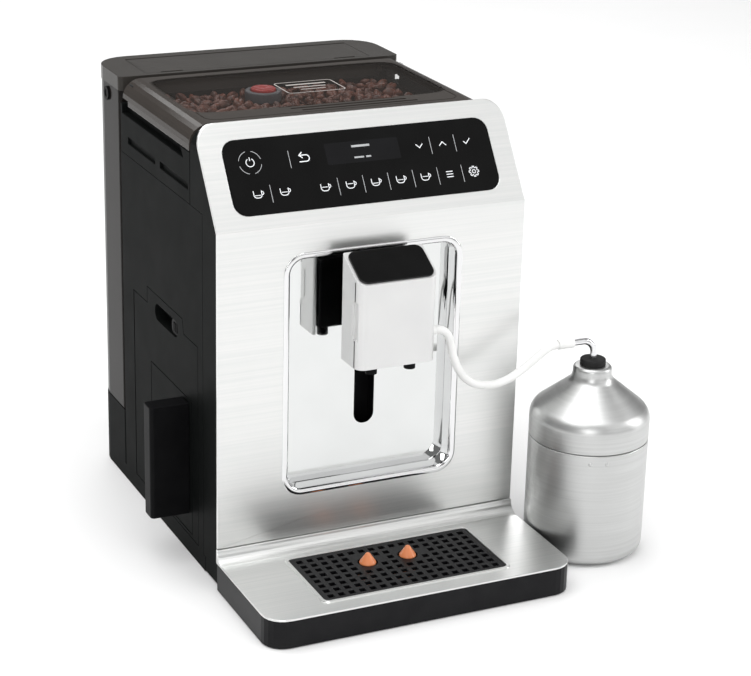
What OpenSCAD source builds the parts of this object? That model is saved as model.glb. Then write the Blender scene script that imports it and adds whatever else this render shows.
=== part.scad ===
// Bean-to-cup coffee machine with a milk jug on a milk hose.
// X is right, -Y is the front, +Z is up. The origin is the middle of the flat underside.

/* [Body] */
// half of the width of the side panels
body_hw = 117; // [116:0.5:117]
// half of the width of the steel front sheet
steel_hw = 119.5; // [118:0.5:119.5]
// rear face of the machine
rear_y = 190; // [188:1:192]
// top of the two lids
top_z = 331; // [331:1:333]
// radius of the two upright rear corners
rear_r = 26; // [20:1:30]
// wall of the moulded panels
panel_t = 2.5; // [2:0.5:2.5]

/* [Front] */
// front face of the upright steel sheet
front_y = -89; // [-90:1:-88]
// radius of the steel sheet's top corners
steel_r = 15; // [10:1:18]
// half of the width of the recess ring
recess_hw = 69.7; // [68:0.1:71]
// radius of the recess ring's corners
recess_r = 16; // [14:1:18]
// half of the width of the control glass
glass_hw = 103; // [98:1:105]

/* [Spout] */
// half of the width of the spout cover
spout_hw = 30.7; // [29:0.1:32]
// half of the distance between the two nozzles
nozzle_x = 15; // [13:1:17]

/* [Tray] */
// front face of the drip tray
tray_y = -190; // [-192:1:-186]
// half of the width of the drip tray
tray_hw = 120; // [119.5:0.5:121]
// side of the square drain holes
drain_w = 4.6; // [3.5:0.1:5]

/* [Jug] */
// radius of the milk jug
jug_r = 45; // [42:0.5:45]
// height of the jug's lower shell
jug_seam_z = 91; // [85:1:95]

/* [Hidden] */
$fn = 48;
run = 0.05;
seam_z = 32.5;
bend_z = 270;
slope_dy = 46;
slope_dz = 65.5;
slope_a = atan2(slope_dz, slope_dy);
panel_top_y = front_y + slope_dy;
panel_top_z = bend_z + slope_dz;
frame_y = -54;
side_y = 122.5;
side_z0 = 12;
side_z1 = 274;
rail_z = 312;
tank_y = 124.6;
tank_z0 = 58.8;
tank_z1 = 320;
valve_y = 150;
gland_x = -80;
gland_z = 30;
pump_x = 70;
pump_z = 48;
recess_z0 = 64.7;
recess_z1 = 249.7;
plate_y = front_y + 13;
slot_hw = 8;
slot_z0 = 108;
slot_z1 = 246;
tray_z = 21;
grid_hw = 72;
grid_y0 = -175;
grid_y1 = -106;
grid_cols = 17;
grid_rows = 8;
float_x = [-19, 13];
float_y = -130;
hopper_hw = 101.5;
hopper_y0 = -13.5;
hopper_y1 = 107.5;
hopper_z0 = 282;
hopper_z1 = 316;
hopper_r = 13.5;
grind_x = -18;
grind_y = 78;
burr_r = 25;
teeth_m = 4 / 3;
burr_teeth = 36;
motor_teeth = 12;
motor_x = grind_x + teeth_m * (burr_teeth + motor_teeth) / 2;
brew_x = -72;
brew_y = 12;
brew_r = 27;
brew_z0 = 176;
brew_z1 = 222;
brew_base_z = 122;
screw_x = -28;
screw_teeth = 28;
brew_teeth = 12;
brew_m = 4 / 3;
brew_motor_x = screw_x + brew_m * (screw_teeth + brew_teeth) / 2;
door_y0 = -44;
door_y1 = 98;
door_z0 = 14;
door_z1 = 172;
door_pin_y = 96;
lid_y0 = -28.3;
lid_y1 = 116;
lid_pin_y = 112;
lid_pin_z = 325;
flap_y0 = 128.9;
flap_y1 = 176.5;
flap_hw = 93.5;
flap_pin_z = 329;
boss_y = 154;
boss_z = 312;
fin_x = -147;
jug_x = 166.5;
jug_y = -120;
hose_r = 3;
barb_y = -116;
barb_z = 190;
tube_z = 166;

black = [0.06, 0.06, 0.065];
dark = [0.12, 0.12, 0.125];
steel = [0.8, 0.8, 0.79];
shine = [0.88, 0.88, 0.9];
smoke = [0.16, 0.14, 0.13, 0.6];
grey = [0.45, 0.45, 0.47];
copper = [0.85, 0.42, 0.22];
white = [0.92, 0.92, 0.92];
green = [0.1, 0.35, 0.2];

// points of an arc
function arc(cx, cy, r, a0, a1, n = 6) =
    [for (i = [0:n]) [cx + r * cos(a0 + (a1 - a0) * i / n), cy + r * sin(a0 + (a1 - a0) * i / n)]];

// rectangle with one corner radius
function rr(x0, x1, y0, y1, r) = rr2(x0, x1, y0, y1, r, r);

// rectangle whose low-y corners have radius ra and high-y corners radius rb
function rr2(x0, x1, y0, y1, ra, rb) = concat(
    arc(x1 - rb, y1 - rb, rb, 0, 90),
    arc(x0 + rb, y1 - rb, rb, 90, 180),
    arc(x0 + ra, y0 + ra, ra, 180, 270),
    arc(x1 - ra, y0 + ra, ra, 270, 360));

// outline of a spur gear with narrow teeth
function gear_pts(m, n) = [for (i = [0:n - 1], k = [0:3])
    let (a = 360 * (i + [-0.22, -0.1, 0.1, 0.22][k]) / n, r = m * n / 2 + [-1.1, 0.8, 0.8, -1.1][k] * m)
    [r * cos(a), r * sin(a)]];

// outline stood up along Z, Y or X
module prism(pts, z0, z1) {
    translate([0, 0, z0]) linear_extrude(z1 - z0) polygon(pts);
}

module prism_y(pts, y0, y1) {
    translate([0, y1, 0]) rotate([90, 0, 0]) linear_extrude(y1 - y0) polygon(pts);
}

module prism_x(pts, x0, x1) {
    translate([x0, 0, 0]) rotate([90, 0, 90]) linear_extrude(x1 - x0) polygon(pts);
}

// box from two corners
module box(a, b) {
    translate(a) cube(b - a);
}

// upright, left-right and front-back round bars
module rod(x, y, r, z0, z1) {
    translate([x, y, z0]) cylinder(r = r, h = z1 - z0);
}

module rod_x(y, z, r, x0, x1) {
    translate([x0, y, z]) rotate([0, 90, 0]) cylinder(r = r, h = x1 - x0);
}

module rod_y(x, z, r, y0, y1) {
    translate([x, y1, z]) rotate([90, 0, 0]) cylinder(r = r, h = y1 - y0);
}

// places children on the sloped control face: x across, y up the slope, z outwards
module on_slope() {
    translate([0, front_y, bend_z]) rotate([slope_a, 0, 0]) children();
}

// left and right copies
module both_sides() {
    children();
    mirror([1, 0, 0]) children();
}

// ---- chassis ----

module base_pan() {
    wall = 3;
    pan_y0 = -58;
    color(black) difference() {
        union() {
            prism(rr2(-body_hw, body_hw, pan_y0, rear_y, 1, rear_r), 0, 6);
            difference() {
                prism(rr2(-body_hw, body_hw, pan_y0, rear_y, 1, rear_r), 6, side_z0);
                prism(rr2(-body_hw + wall, body_hw - wall, pan_y0 + wall, rear_y - wall, 1, rear_r - wall),
                    5, side_z0 + 1);
            }
            difference() {
                prism(rr2(-body_hw, body_hw, tank_y - 0.6, rear_y, 2, rear_r), 6, tank_z0);
                prism(rr2(-body_hw + wall, body_hw - wall, tank_y - 0.6 + wall, rear_y - wall, 1,
                    rear_r - wall), 5.9, tank_z0 - wall);
            }
        }
        feet_pads(9.1, -1, 2);
        rod(0, valve_y, 12.1, tank_z0 - 9, tank_z0 + 1);
        rod_y(gland_x, gland_z, 7, rear_y - 5, rear_y + 1);
        for (i = [0:8]) box([30 + i * 7, rear_y - 5, 18], [33 + i * 7, rear_y + 1, 42]);
    }
}

module feet_pads(r, z0, z1) {
    both_sides() {
        rod(95, -40, r, z0, z1);
        rod(86, 160, r, z0, z1);
    }
}

module feet() {
    color(dark) feet_pads(9, 0, 2);
}

module rear_wall() {
    color(black) difference() {
        box([-114, side_y - 2.2, side_z0], [114, side_y, side_z1]);
        box([-20, side_y - 3, 60], [20, side_y + 1, 90]);
        both_sides() rod_y(100, 260, 3, side_y - 3, side_y + 1);
    }
}

// outline of the opening in the left side, grown by g
function door_pts(g) = [
    [door_y0 - g, door_z0 - g], [door_y1 + g, door_z0 - g], [door_y1 + g, door_z1 - 2 + g],
    [66 + g, door_z1 - 2 + g], [66 + g, door_z1 + 11 + g], [-12 - g, door_z1 + 11 + g],
    [-15 - g, door_z1 + g], [door_y0 - g, door_z1 + g]];

module left_panel() {
    color(black) difference() {
        union() {
            box([-body_hw, frame_y + 0.2, side_z0], [-body_hw + panel_t, side_y, side_z1]);
            box([-body_hw, 90, side_z0], [-body_hw + 5, 101, 14]);
            box([-body_hw, 90, 170.5], [-body_hw + 5, 101, 178]);
            box([-body_hw + panel_t, 99.5, 20], [-body_hw + 6, 102, 160]);
        }
        prism_x(door_pts(0), -body_hw - 1, -body_hw + 4.2);
        rod(-body_hw + 1.6, door_pin_y, 0.85, side_z0 + 0.4, 174);
    }
}

module right_panel() {
    color(black) difference() {
        box([body_hw - panel_t, frame_y + 0.2, side_z0], [body_hw, side_y, side_z1]);
        for (i = [0:7]) box([body_hw - 4, 34 + i * 9, 24], [body_hw + 1, 38 + i * 9, 62]);
        for (i = [0:7]) box([body_hw - 4, 34 + i * 9, 222], [body_hw + 1, 38 + i * 9, 252]);
    }
}

module cord_gland() {
    color(dark) difference() {
        rod_y(gland_x, gland_z, 6.9, rear_y - 9, rear_y);
        rod_y(gland_x, gland_z, 3.6, rear_y - 10, rear_y + 1);
    }
}

module tank_socket() {
    color(dark) difference() {
        union() {
            rod(0, valve_y, 12, 50, tank_z0);
            rod(0, valve_y, 8, 40, 50.1);
        }
        rod(0, valve_y, 6, 44, 60);
        rod(0, valve_y, 3, 39, 45);
    }
}

module front_frame() {
    y0 = front_y + 2;
    color(black) intersection() {
        union() {
            both_sides() prism_x([[y0, 1], [-58.2, 1], [-58.2, side_z0 + 0.2], [frame_y, side_z0 + 0.2],
                [frame_y, side_z1 + 0.2], [lid_y0 - 1.7, side_z1 + 0.2], [lid_y0 - 1.7, top_z - 1],
                [panel_top_y + 4, top_z - 1], [y0, bend_z - 0.8]], body_hw - 5, body_hw);
            box([-body_hw, y0, seam_z], [body_hw, frame_y, seam_z + 8]);
            prism_x([[panel_top_y + 4, top_z - 1], [lid_y0 - 1.7, top_z - 1], [lid_y0 - 1.7, top_z - 8],
                [panel_top_y + 0.8, top_z - 8]], -body_hw, body_hw);
            box([-body_hw, y0, 256], [body_hw, y0 + 8, 264]);
            box([-body_hw, lid_y0 - 4.2, side_z1 + 0.2], [body_hw, lid_y0 - 1.7, top_z - 7]);
        }
        prism_y(rr2(-body_hw, body_hw, 0, top_z - 0.5, 1, steel_r), -100, 0);
    }
}

module front_panel() {
    t = 2;
    color(steel) difference() {
        intersection() {
            prism_x([[front_y, seam_z], [front_y + t, seam_z], [front_y + t, bend_z - 0.6],
                [panel_top_y + t * sin(slope_a), panel_top_z - t * cos(slope_a)], [panel_top_y, panel_top_z],
                [front_y, bend_z]], -steel_hw, steel_hw);
            prism_y(rr2(-steel_hw, steel_hw, seam_z, panel_top_z, 0.5, steel_r), -100, 0);
        }
        prism_y(rr(-recess_hw + 1.7, recess_hw - 1.7, recess_z0 + 1.7, recess_z1 - 1.7, recess_r - 1.7),
            front_y - 5, front_y + 5);
        on_slope() prism(rr(-glass_hw - 0.2, glass_hw + 0.2, 10.3, 66.2, 10.2), -5, 5);
    }
}

module control_glass() {
    color(black) on_slope() prism(rr(-glass_hw, glass_hw, 10.5, 66, 10), -2, 0.3);
}

module control_board() {
    color(green) on_slope() difference() {
        union() {
            box([-98, 13, -5.2], [98, 63, -3.6]);
            box([-32, 38, -3.6], [34, 60, -2.1]);
            box([-60, 20, -10], [-40, 34, -5.2]);
            box([48, 22, -12], [60, 50, -5.2]);
        }
        for (x = [-92, 92], y = [18, 58]) translate([x, y, -8]) cylinder(r = 1.6, h = 8);
    }
}

module recess_bezel() {
    hw = recess_hw;
    color(shine) difference() {
        union() {
            prism_y(rr(-hw, hw, recess_z0, recess_z1, recess_r), front_y - 1, front_y);
            prism_y(rr(-hw + 1.9, hw - 1.9, recess_z0 + 1.9, recess_z1 - 1.9, recess_r - 1.9), front_y - 1,
                plate_y);
        }
        prism_y(rr(-hw + 5, hw - 5, recess_z0 + 5, recess_z1 - 5, recess_r - 5), front_y - 3, plate_y + 1);
    }
}

module recess_plate() {
    hw = recess_hw - 1.9;
    color(shine) difference() {
        prism_y(rr(-hw, hw, recess_z0 + 1.9, recess_z1 - 1.9, recess_r - 1.9), plate_y, plate_y + 1.5);
        prism_y(rr(-slot_hw, slot_hw, slot_z0, slot_z1, slot_hw - 0.1), plate_y - 2, plate_y + 4);
    }
}

module spout_guide() {
    color(dark) difference() {
        box([-16, plate_y + 1.5, 98], [16, plate_y + 20, 256]);
        box([-10.5, plate_y + 1, 103], [10.5, plate_y + 16, 251]);
    }
}

// ---- upper housing, hopper and lid ----

// outline of the hopper's wall, grown by g
function hopper_pts(g) = rr(-hopper_hw - g, hopper_hw + g, hopper_y0 - g, hopper_y1 + g, hopper_r + g);

module top_housing() {
    color(black) difference() {
        prism(rr(-body_hw, body_hw, lid_y0 - 1.4, side_y, 1), side_z1 + 0.2, rail_z);
        prism(rr(-body_hw + panel_t + 4, body_hw - panel_t - 4, lid_y0 + 2, side_y - 2.5, 1), side_z1 + 3,
            rail_z - 7);
        prism(hopper_pts(0.5), side_z1, rail_z + 1);
        both_sides() {
            box([-body_hw - 1, 44, 284], [-body_hw + 2, 105, 289]);
            box([-body_hw - 1, -26, 284], [-body_hw + 2, 33, 289]);
            prism_x([[-16, rail_z - 7], [118, rail_z - 7], [118, rail_z + 1], [-9, rail_z + 1]], -body_hw - 1,
                -body_hw + 5);
            box([95.9, lid_pin_y - 2.9, 300], [100.1, lid_pin_y + 2.9, rail_z + 1]);
        }
    }
}

module bean_hopper() {
    color(smoke) difference() {
        union() {
            prism(hopper_pts(0), hopper_z0, hopper_z1);
            rod(grind_x, grind_y, 29, side_z1 + 0.2, hopper_z0 + 0.1);
        }
        prism(hopper_pts(-2.5), hopper_z0 + 2.5, hopper_z1 + 1);
        rod(grind_x, grind_y, 26, side_z1, 290);
    }
}

module hopper_lid() {
    edge_r = 14;
    ear_x = [92, 100.6];
    color(smoke) difference() {
        union() {
            difference() {
                prism_y(rr2(-body_hw, body_hw, rail_z + 0.4, top_z, 1, edge_r), lid_y0, lid_y1);
                prism_y(rr2(-body_hw + 3, body_hw - 3, rail_z - 9, top_z - 2.6, 1, edge_r - 3), lid_y0 + 2.5,
                    lid_y1 - 2.5);
                box([-body_hw - 1, lid_y1 - 12, rail_z], [body_hw + 1, lid_y1 + 1, 317]);
                box([-body_hw + 4, lid_y0 - 1, rail_z], [body_hw - 4, lid_y1 + 1, 318]);
            }
            both_sides() for (x = ear_x) {
                rod_x(lid_pin_y, lid_pin_z, 3.6, x, x + 3.4);
                box([x, lid_pin_y - 3, lid_pin_z], [x + 3.4, lid_pin_y + 2, top_z - 2]);
            }
        }
        for (i = [0:2]) let (y = -1 - 6.5 * i, x = 6.5 * i)
            box([x - 38, y - 1.2, top_z - 4], [x + 54, y + 1.2, top_z + 1]);
        difference() {
            prism(rr(-100, 100, -20, 104, 10), top_z - 0.5, top_z + 1);
            prism(rr(-99, 99, -19, 103, 9), top_z - 1, top_z + 2);
        }
        both_sides() {
            rod_x(lid_pin_y, lid_pin_z, 1.5 + run, 91, 105);
            box([95.5, lid_y1 - 3, 315], [100.5, lid_y1 + 1, lid_pin_z + 3.2]);
        }
    }
}

module lid_pins() {
    color(dark) both_sides() union() {
        rod_x(lid_pin_y, lid_pin_z, 1.5, 92.2, 103.8);
        rod_x(lid_pin_y, lid_pin_z, 2.8, 96, 100);
        box([96, lid_pin_y - 2.8, 300], [100, lid_pin_y + 2.8, lid_pin_z]);
    }
}

// ---- grinder ----

module grind_knob() {
    color(grey) union() {
        difference() {
            rod(grind_x, grind_y, 14, 316, 324);
            rod(grind_x, grind_y, 10, 322, 325);
        }
        rod(grind_x, grind_y, 9.6, 321.9, 326);
        rod(grind_x, grind_y, 5, 266, 317);
        box([grind_x - 1.2, grind_y - 13, 323.5], [grind_x + 1.2, grind_y - 10.5, 325]);
    }
}

module upper_burr() {
    color(steel) difference() {
        union() {
            difference() {
                rod(grind_x, grind_y, burr_r, 258.4, 266);
                rod(grind_x, grind_y, 13, 258, 267);
                rod(grind_x, grind_y, 20, 257, 260);
            }
            for (a = [0:120:240])
                translate([grind_x, grind_y, 0]) rotate([0, 0, a]) box([0, -2, 262], [14, 2, 266]);
            rod(grind_x, grind_y, 7, 262, 266);
        }
        rod(grind_x, grind_y, 3.4, 250, 264);
    }
}

module lower_burr() {
    color(steel) difference() {
        union() {
            rod(grind_x, grind_y, burr_r, 247, 254);
            rod(grind_x, grind_y, 18, 253, 257.6);
            rod(grind_x, grind_y, 3, 218, 262);
            translate([grind_x, grind_y, 257.5]) cylinder(r1 = 11, r2 = 4, h = 4);
        }
        for (a = [0:30:330])
            translate([grind_x, grind_y, 0]) rotate([0, 0, a]) box([19, -1, 251.5], [26, 1, 255]);
    }
}

module burr_gear() {
    color(white) translate([grind_x, grind_y, 0]) difference() {
        union() {
            prism(gear_pts(teeth_m, burr_teeth), 222, 229);
            rod(0, 0, 7, 220, 231);
        }
        rod(0, 0, 3, 219, 232);
        for (a = [0:60:300]) rotate([0, 0, a]) translate([14.5, 0, 221]) cylinder(r = 4, h = 10);
    }
}

module grinder_housing() {
    color(dark) difference() {
        union() {
            rod(grind_x, grind_y, burr_r + 10, 234, side_z1);
            box([grind_x - 37, grind_y - 40, 234], [grind_x - 17, grind_y - 20, 258]);
            box([grind_x - 10, grind_y + 30, 262], [grind_x + 10, side_y - 2.3, 268]);
        }
        rod(grind_x, grind_y, burr_r + 5, 237, side_z1 + 3);
        rod(grind_x, grind_y, 3 + run, 233, 238);
        box([grind_x - 34, grind_y - 37, 237], [grind_x - 20, grind_y - 17, 255]);
        box([grind_x - 34, grind_y - 37, 233], [grind_x - 20, grind_y - 30, 240]);
    }
}

module grinder_motor() {
    color(grey) difference() {
        union() {
            rod(motor_x, grind_y, 22, 146, 210);
            rod(motor_x, grind_y, 17, 140, 146.1);
            rod(motor_x, grind_y, 9, 209.9, 216);
            box([motor_x - 24, grind_y + 10, 190], [motor_x + 24, side_y - 2.3, 196]);
        }
        rod(motor_x, grind_y, 2.5 + run, 200, 217);
    }
}

module motor_pinion() {
    color(white) translate([motor_x, grind_y, 0]) union() {
        rotate([0, 0, 180 + 180 / motor_teeth]) prism(gear_pts(teeth_m, motor_teeth), 221, 230);
        rod(0, 0, 2.5, 201, 221.1);
    }
}

module grounds_chute() {
    color(dark) difference() {
        box([-62, 18, 222.3], [-36, 56, 233.7]);
        box([-60, 20, 224.3], [-38, 54, 234]);
        rod(brew_x, brew_y, brew_r - 1, brew_z1, brew_z1 + 3);
    }
}

// ---- brewing unit ----

module brew_chamber() {
    color(grey) difference() {
        union() {
            rod(brew_x, brew_y, brew_r + 5, brew_z0, brew_z1);
            box([brew_x - 34, brew_y - 32, brew_base_z - 4], [16, brew_y + 32, brew_base_z]);
            for (x = [-31, 10], y = [brew_y - 32, brew_y + 26]) box([x, y, 6], [x + 6, y + 6, 118.1]);
            for (x = [-23.5, 23.5], y = [-23.5, 23.5])
                rod(brew_x + x, brew_y + y, 3.5, brew_base_z - 0.1, 190);
            box([brew_x + 20, brew_y - 8, 206], [screw_x + 8, brew_y + 8, 212]);
        }
        rod(brew_x, brew_y, brew_r, brew_z0 - 1, brew_z1 + 1);
        rod(screw_x, brew_y, 3 + run, brew_base_z - 5, 213);
    }
}

module brew_piston() {
    color(dark) difference() {
        union() {
            rod(brew_x, brew_y, brew_r - run, brew_z0 + 2, 187);
            rod(brew_x, brew_y, 9, 134, brew_z0 + 2.1);
            box([brew_x - 9, brew_y - 8, 132], [screw_x, brew_y + 8, 140]);
            rod(screw_x, brew_y, 9, 132, 144);
        }
        rod(screw_x, brew_y, 4.5 + run, 131, 145);
    }
}

module brew_screw() {
    color(steel) translate([screw_x, brew_y, 0]) union() {
        prism(gear_pts(brew_m, screw_teeth), 123, 129);
        rod(0, 0, 4.5, 128.9, 205.5);
        rod(0, 0, 3, 119, 211);
    }
}

module brew_pinion() {
    color(white) translate([brew_motor_x, brew_y, 0]) union() {
        rotate([0, 0, 180 + 180 / brew_teeth]) prism(gear_pts(brew_m, brew_teeth), 122.6, 129.4);
        rod(0, 0, 2, 129.3, 142);
    }
}

module brew_motor() {
    color(grey) difference() {
        union() {
            rod(brew_motor_x, brew_y, 15, 133, 190);
            for (y = [brew_y - 12, brew_y + 12]) rod(brew_motor_x + 9, y, 2.5, brew_base_z, 136);
        }
        rod(brew_motor_x, brew_y, 2 + run, 132, 143);
    }
}

// ---- water, heat and power ----

module thermoblock() {
    color(grey) difference() {
        union() {
            box([48, -38, 128], [98, 40, 206]);
            for (y = [-24, 26]) rod_x(y, 196, 4, 36, 48.1);
            for (y = [-30, 32], z = [134, 200]) rod_x(y, z, 3, 97.9, body_hw - panel_t);
        }
        for (i = [0:4]) box([46, -50, 138 + i * 11], [60, 50, 142 + i * 11]);
        for (i = [0:4]) box([86, -50, 138 + i * 11], [100, 50, 142 + i * 11]);
    }
}

module pump() {
    color(grey) union() {
        rod_y(pump_x, pump_z, 15, 30, 96);
        difference() {
            box([pump_x - 20, 40, pump_z - 18], [pump_x + 20, 74, pump_z + 18]);
            for (y = [37, 71]) box([pump_x - 17, y, pump_z - 15], [pump_x + 17, y + 6, pump_z + 15]);
        }
        rod_y(pump_x, pump_z, 4, 16, 30.1);
        rod_y(pump_x, pump_z, 4, 95.9, 110);
    }
}

module pump_mounts() {
    color(dark) difference() {
        union() {
            box([pump_x - 18, 30, 6], [pump_x + 18, 38.5, 36]);
            box([pump_x - 18, 75.5, 6], [pump_x + 18, 84, 36]);
        }
        rod_y(pump_x, pump_z, 15.3, 20, 100);
    }
}

module main_board() {
    color(green) union() {
        box([108, 46, 66], [109.6, 116, 250]);
        box([98, 70, 80], [108.1, 100, 108]);
        box([100, 60, 150], [108.1, 96, 176]);
        for (i = [0:3]) rod_x(56 + i * 14, 125, 5, 96, 108.1);
        for (y = [50, 112], z = [70, 246]) rod_x(y, z, 2, 109.5, body_hw - panel_t);
    }
}

// ---- spout ----

module spout_carriage() {
    color(dark) difference() {
        union() {
            prism(rr2(-27, 27, -126, -98, 4, 2), 178, 230);
            box([-slot_hw + 0.4, -98.1, 180], [slot_hw - 0.4, plate_y + 10, 240]);
            box([-9.8, plate_y + 2.2, 182], [9.8, plate_y + 10, 238]);
        }
        rod_y(0, 206, 3, -127, -120);
        box([-22, -124, 170], [22, -106, 186]);
    }
}

// sloped top of the spout cover
function spout_wedge(d) = [[-135, 232.0 - d], [-100.5, 250.5 - d], [-100.5, 270], [-135, 270]];

module spout_cover() {
    color(white) difference() {
        prism(rr2(-spout_hw, spout_hw, -130, -100.8, 7, 1.5), 172, 252);
        difference() {
            prism(rr2(-spout_hw + 2.4, spout_hw - 2.4, -127.6, -95, 4.6, 1), 170, 260);
            prism_x(spout_wedge(3.6), -60, 60);
        }
        prism_x(spout_wedge(0), -60, 60);
        both_sides() box([-spout_hw - 1, -128, 193], [-spout_hw + 1.2, -121, 221]);
        box([spout_hw - 5, barb_y - 5, 171], [spout_hw + 1, -95, barb_z + 5]);
    }
}

module spout_cap() {
    a = atan2(18.5, 34.5);
    color(black) translate([0, -100.5, 250.5]) rotate([a, 0, 0])
        prism(rr(-spout_hw + 1.9, spout_hw - 1.9, -32.2, -1.4, 6.2), 0.02, 1.4);
}

module spout_nozzles() {
    color(dark) difference() {
        union() {
            both_sides() rod(nozzle_x, -119, 4.2, 165, 178.1);
            box([-nozzle_x - 5, -123.5, 178], [nozzle_x + 5, -112, 185.8]);
        }
        both_sides() rod(nozzle_x, -119, 2.4, 164, 180);
    }
}

module hose_barb() {
    color(white) difference() {
        union() {
            rod_x(barb_y, barb_z, 3.4, 27.02, 36);
            rod_x(barb_y, barb_z, 4.6, spout_hw + 0.2, 33.5);
        }
        rod_x(barb_y, barb_z, 1.6, 26, 37);
    }
}

// ---- drip tray ----

module drip_tray() {
    color(black) difference() {
        union() {
            prism(rr2(-tray_hw, tray_hw, tray_y, front_y, 16, 1), 0.3, tray_z);
            prism(rr2(-111.5, 111.5, -100, -60, 1, 3), 0.3, tray_z);
        }
        prism(rr2(-tray_hw + 3, tray_hw - 3, tray_y + 3, -92, 13, 1), 3.5, tray_z + 1);
        prism(rr2(-108.5, 108.5, -100, -63, 1, 2), 3.5, tray_z + 1);
    }
}

module tray_cover() {
    t = 1.5;
    z1 = tray_z + t;
    cove = concat([[tray_y, tray_z], [tray_y, z1]], arc(-99.4, z1 + 9.8, 9.8, 270, 355, 8),
        [[front_y + t, seam_z - 0.3], [front_y + t, tray_z]]);
    color(steel) difference() {
        union() {
            intersection() {
                prism_x(cove, -tray_hw, tray_hw);
                prism(rr2(-tray_hw, tray_hw, tray_y, front_y + t, 16, 0.5), 10, 40);
            }
            prism(rr(-grid_hw - 2.4, grid_hw + 2.4, grid_y0 - 2.4, grid_y1 + 2.4, 6), tray_z - 3, z1 + 1);
        }
        prism(rr(-grid_hw, grid_hw, grid_y0, grid_y1, 3.6), tray_z - 0.8, z1 + 2);
        prism(rr(-grid_hw + 3, grid_hw - 3, grid_y0 + 3, grid_y1 - 3, 1), tray_z - 4, z1 + 2);
        box([-tray_hw + 3, -96, tray_z - 1], [tray_hw - 3, -89, tray_z + 1.5]);
    }
}

module drip_grid() {
    z0 = tray_z - 0.8;
    z1 = tray_z + 1.8;
    px = 2 * grid_hw / (grid_cols + 0.7);
    py = (grid_y1 - grid_y0) / (grid_rows + 0.6);
    gx = (grid_cols - 1) / 2;
    gy = (grid_rows - 1) / 2;
    mid_y = (grid_y0 + grid_y1) / 2;
    h = drain_w / 2;
    color(black) difference() {
        prism(rr(-grid_hw + 0.5, grid_hw - 0.5, grid_y0 + 0.5, grid_y1 - 0.5, 3), z0, z1);
        for (i = [0:grid_cols - 1], j = [0:grid_rows - 1])
            let (x = (i - gx) * px, y = mid_y + (j - gy) * py)
            if (min([for (f = float_x) norm([x - f, y - float_y])]) > 12)
                box([x - h, y - h, z0 - 1], [x + h, y + h, z1 + 1]);
        for (f = float_x) rod(f, float_y, 7.4, z0 - 1, z1 + 1);
    }
}

module float_at(x) {
    color(copper) translate([x, float_y, 0]) union() {
        cylinder(r = 9, h = 5);
        rod(0, 0, 3, 4.9, 17);
        rod(0, 0, 6.2, 16.9, 18);
        translate([0, 0, 18]) cylinder(r1 = 6.2, r2 = 1.4, h = 7);
    }
}

module float_left() {
    translate([0, 0, 5]) float_at(float_x[0]);
}

module float_right() {
    translate([0, 0, 5]) float_at(float_x[1]);
}

// ---- water tank ----

module water_tank() {
    w = 2.4;
    color(smoke) difference() {
        prism(rr2(-body_hw + 0.4, body_hw - 0.4, tank_y, rear_y - 0.4, 4, rear_r), tank_z0 + 0.2, tank_z1);
        prism(rr2(-body_hw + w, body_hw - w, tank_y + w, rear_y - 0.4 - w, 2, rear_r - w), tank_z0 + 3.2,
            tank_z1 + 1);
        rod(0, valve_y, 6.6, 50, 70);
    }
}

module tank_valve() {
    color(dark) union() {
        rod(0, valve_y, 5.85, 50, tank_z0 + 3.3);
        rod(0, valve_y, 9, tank_z0 + 3.25, tank_z0 + 6);
        rod(0, valve_y, 4, tank_z0 + 5.9, tank_z0 + 12);
    }
}

module tank_rim() {
    w = 3.2;
    color(smoke) difference() {
        union() {
            prism(rr2(-body_hw, body_hw, tank_y - 0.8, rear_y, 4, rear_r), tank_z1 + 0.02, top_z);
            prism(rr2(-body_hw + w, body_hw - w, tank_y + w, rear_y - w, 2, rear_r - w), tank_z1 - 7,
                tank_z1 + 1);
        }
        prism(rr2(-body_hw + w + 2, body_hw - w - 2, tank_y + w + 2, rear_y - w - 2, 1, rear_r - w - 2),
            tank_z1 - 8, top_z - 4.8);
        prism(rr2(-flap_hw - 0.5, flap_hw + 0.5, flap_y0 - 0.5, flap_y1 + 2.6, 2, 1), top_z - 2.65,
            top_z + 1);
        prism(rr2(-flap_hw + 2, flap_hw - 2, flap_y0 + 1.5, flap_y1 + 2.6, 2, 1), top_z - 6, top_z + 1);
        box([-flap_hw - 0.5, flap_y1 - 2.6, top_z - 6], [flap_hw + 0.5, flap_y1 + 2.6, top_z - 2]);
    }
    color(smoke) both_sides() rod_x(flap_y1, flap_pin_z, 1, flap_hw - 5, flap_hw + 1.5);
}

module tank_lid() {
    color(smoke) difference() {
        union() {
            prism(rr2(-flap_hw, flap_hw, flap_y0, flap_y1, 1.5, 0.2), top_z - 2.6, top_z);
            rod_x(flap_y1, flap_pin_z, 2, -flap_hw, flap_hw);
        }
        both_sides() rod_x(flap_y1, flap_pin_z, 1 + run, flap_hw - 6, flap_hw + 1);
        both_sides() box([flap_hw - 30, flap_y0 - 1, top_z - 1], [flap_hw - 12, flap_y0 + 2.2, top_z + 1]);
    }
}

module tank_bosses() {
    color(black) both_sides() difference() {
        rod_x(boss_y, boss_z, 5.4, body_hw - 0.4, body_hw + 1);
        rod_x(boss_y, boss_z, 3, body_hw + 0.4, body_hw + 2);
    }
}

// ---- service door and grounds drawer ----

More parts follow.
